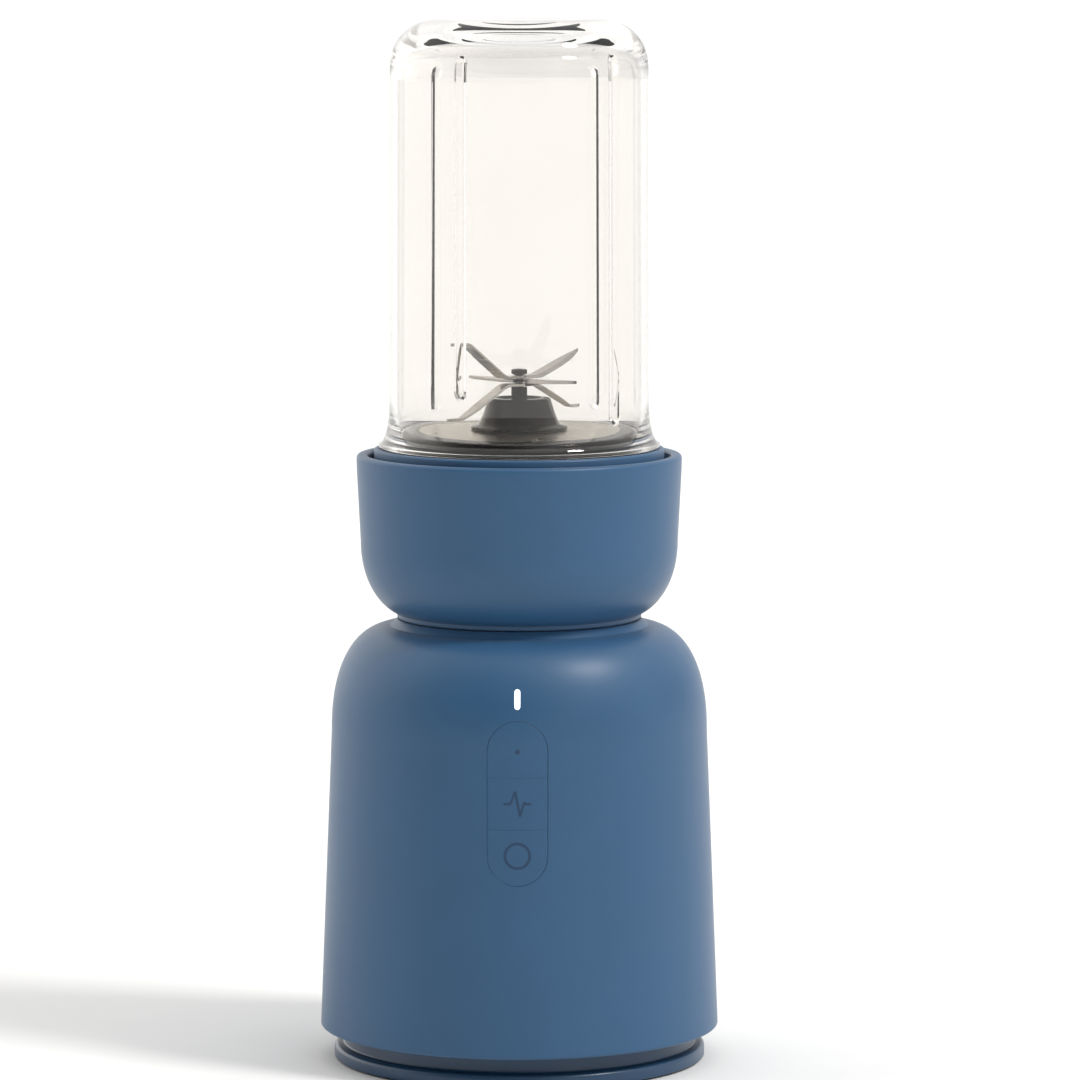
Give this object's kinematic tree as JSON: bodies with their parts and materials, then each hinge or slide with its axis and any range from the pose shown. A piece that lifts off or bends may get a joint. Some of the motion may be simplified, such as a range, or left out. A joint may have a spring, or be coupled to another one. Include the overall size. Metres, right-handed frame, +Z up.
{
  "type": "countertop blender",
  "caption": "Personal countertop blender: domed motor base with key panel, cradle bowl, screw-on bladed cap and inverted clear ribbed jar.",
  "frame": {"origin": "centre of the foot's underside, on the main axis, on the surface it stands on", "axes": "+Z up along the main axis; the control panel faces -Y; +X to the right of someone facing the panel"},
  "size_m": [0.135, 0.135, 0.3515],
  "materials": {
    "blue_plastic": "satin moulded",
    "black_rubber": "matt",
    "clear_jar": "polished clear",
    "silicone_grey": "matt",
    "steel_bright": "satin",
    "steel_dark": "dark polished",
    "laminated_steel": "satin",
    "copper_winding": "enamelled wire",
    "brass_parts": "machined",
    "black_plastic": "moulded",
    "grey_plastic": "moulded",
    "board": "solder mask",
    "light": "lit diffuser",
    "carbon": "matt carbon"
  },
  "bodies": {
    "base": {"motor_housing": "blue_plastic", "base_plate": "blue_plastic", "foot_pad": "black_rubber", "base_screw_1": "steel_bright", "base_screw_2": "steel_bright", "base_screw_3": "steel_bright", "cord_gland": "black_rubber", "control_board": "board", "switch_ring": "black_plastic", "switch_pulse": "black_plastic", "switch_dot": "black_plastic", "light_pipe": "light", "cradle_bowl": "blue_plastic", "bowl_screw_1": "steel_bright", "bowl_screw_2": "steel_bright", "shaft_seal": "black_rubber", "interlock_switch": "black_plastic", "motor_mount_1": "black_rubber", "motor_mount_2": "black_rubber", "motor_mount_3": "black_rubber", "motor_mount_4": "black_rubber", "lower_motor_bracket": "laminated_steel", "upper_motor_bracket": "laminated_steel", "lower_bearing": "steel_bright", "upper_bearing": "steel_bright", "stator_core": "laminated_steel", "front_field_coil": "copper_winding", "rear_field_coil": "copper_winding", "left_brush_holder": "brass_parts", "right_brush_holder": "brass_parts", "left_carbon_brush": "carbon", "right_carbon_brush": "carbon"},
    "rotor": {"motor_shaft": "steel_bright", "armature_core": "laminated_steel", "lower_winding": "copper_winding", "upper_winding": "copper_winding", "commutator": "copper_winding", "cooling_fan": "black_plastic", "drive_coupling": "black_plastic"},
    "ring_key": {"key_ring": "blue_plastic"},
    "pulse_key": {"key_pulse": "blue_plastic"},
    "dot_key": {"key_dot": "blue_plastic"},
    "lock_ring": {"lock_ring": "grey_plastic"},
    "interlock_pin": {"interlock_pin": "grey_plastic"},
    "cup": {"blade_cap": "blue_plastic", "blade_disc": "steel_bright", "bearing_hub": "steel_dark", "hub_bush": "brass_parts", "hub_nut": "steel_bright"},
    "blades": {"blade_spindle": "steel_dark", "lower_blade": "steel_bright", "flat_blade": "steel_bright", "upper_blade": "steel_bright", "blade_nut": "steel_dark", "driven_coupling": "black_plastic"},
    "gasket": {"seal_gasket": "silicone_grey"},
    "jar": {"jar": "clear_jar"}
  },
  "joints": [
    {"name": "rotor_spin", "type": "hinge", "parent": "base", "child": "rotor", "pos_m": [0, 0, 0.09], "axis": [0, 0, 1], "continuous": true},
    {"name": "ring_key_press", "type": "slide", "parent": "base", "child": "ring_key", "axis": [0, 1, 0], "range_m": [0, 0.0006], "stiffness_N_per_m": 600},
    {"name": "pulse_key_press", "type": "slide", "parent": "base", "child": "pulse_key", "axis": [0, 1, 0], "range_m": [0, 0.0006], "stiffness_N_per_m": 600},
    {"name": "dot_key_press", "type": "slide", "parent": "base", "child": "dot_key", "axis": [0, 1, 0], "range_m": [0, 0.0006], "stiffness_N_per_m": 600},
    {"name": "cup_twist", "type": "hinge", "parent": "base", "child": "lock_ring", "pos_m": [0, 0, 0.174], "axis": [0, 0, 1], "range_deg": [-30, 0]},
    {"name": "interlock_press", "type": "slide", "parent": "base", "child": "interlock_pin", "axis": [0, 0, 1], "range_m": [-0.0021, 0]},
    {"name": "cup_lift", "type": "slide", "parent": "lock_ring", "child": "cup", "axis": [0, 0, 1], "range_m": [0, 0.08]},
    {"name": "blade_spin", "type": "hinge", "parent": "cup", "child": "blades", "pos_m": [0, 0, 0.2], "axis": [0, 0, 1], "continuous": true},
    {"name": "jar_turn", "type": "hinge", "parent": "cup", "child": "gasket", "pos_m": [0, 0, 0.19], "axis": [0, 0, 1], "range_deg": [0, 650]},
    {"name": "jar_rise", "type": "slide", "parent": "gasket", "child": "jar", "axis": [0, 0, 1], "range_m": [0, 0.0091]}
  ],
  "couplings": [
    {"joint": "blade_spin", "follows": "rotor_spin", "ratio": 1},
    {"joint": "interlock_press", "follows": "cup_twist", "m_per_rad": 0.0038197},
    {"joint": "jar_rise", "follows": "jar_turn", "m_per_rad": 0.00079577}
  ]
}
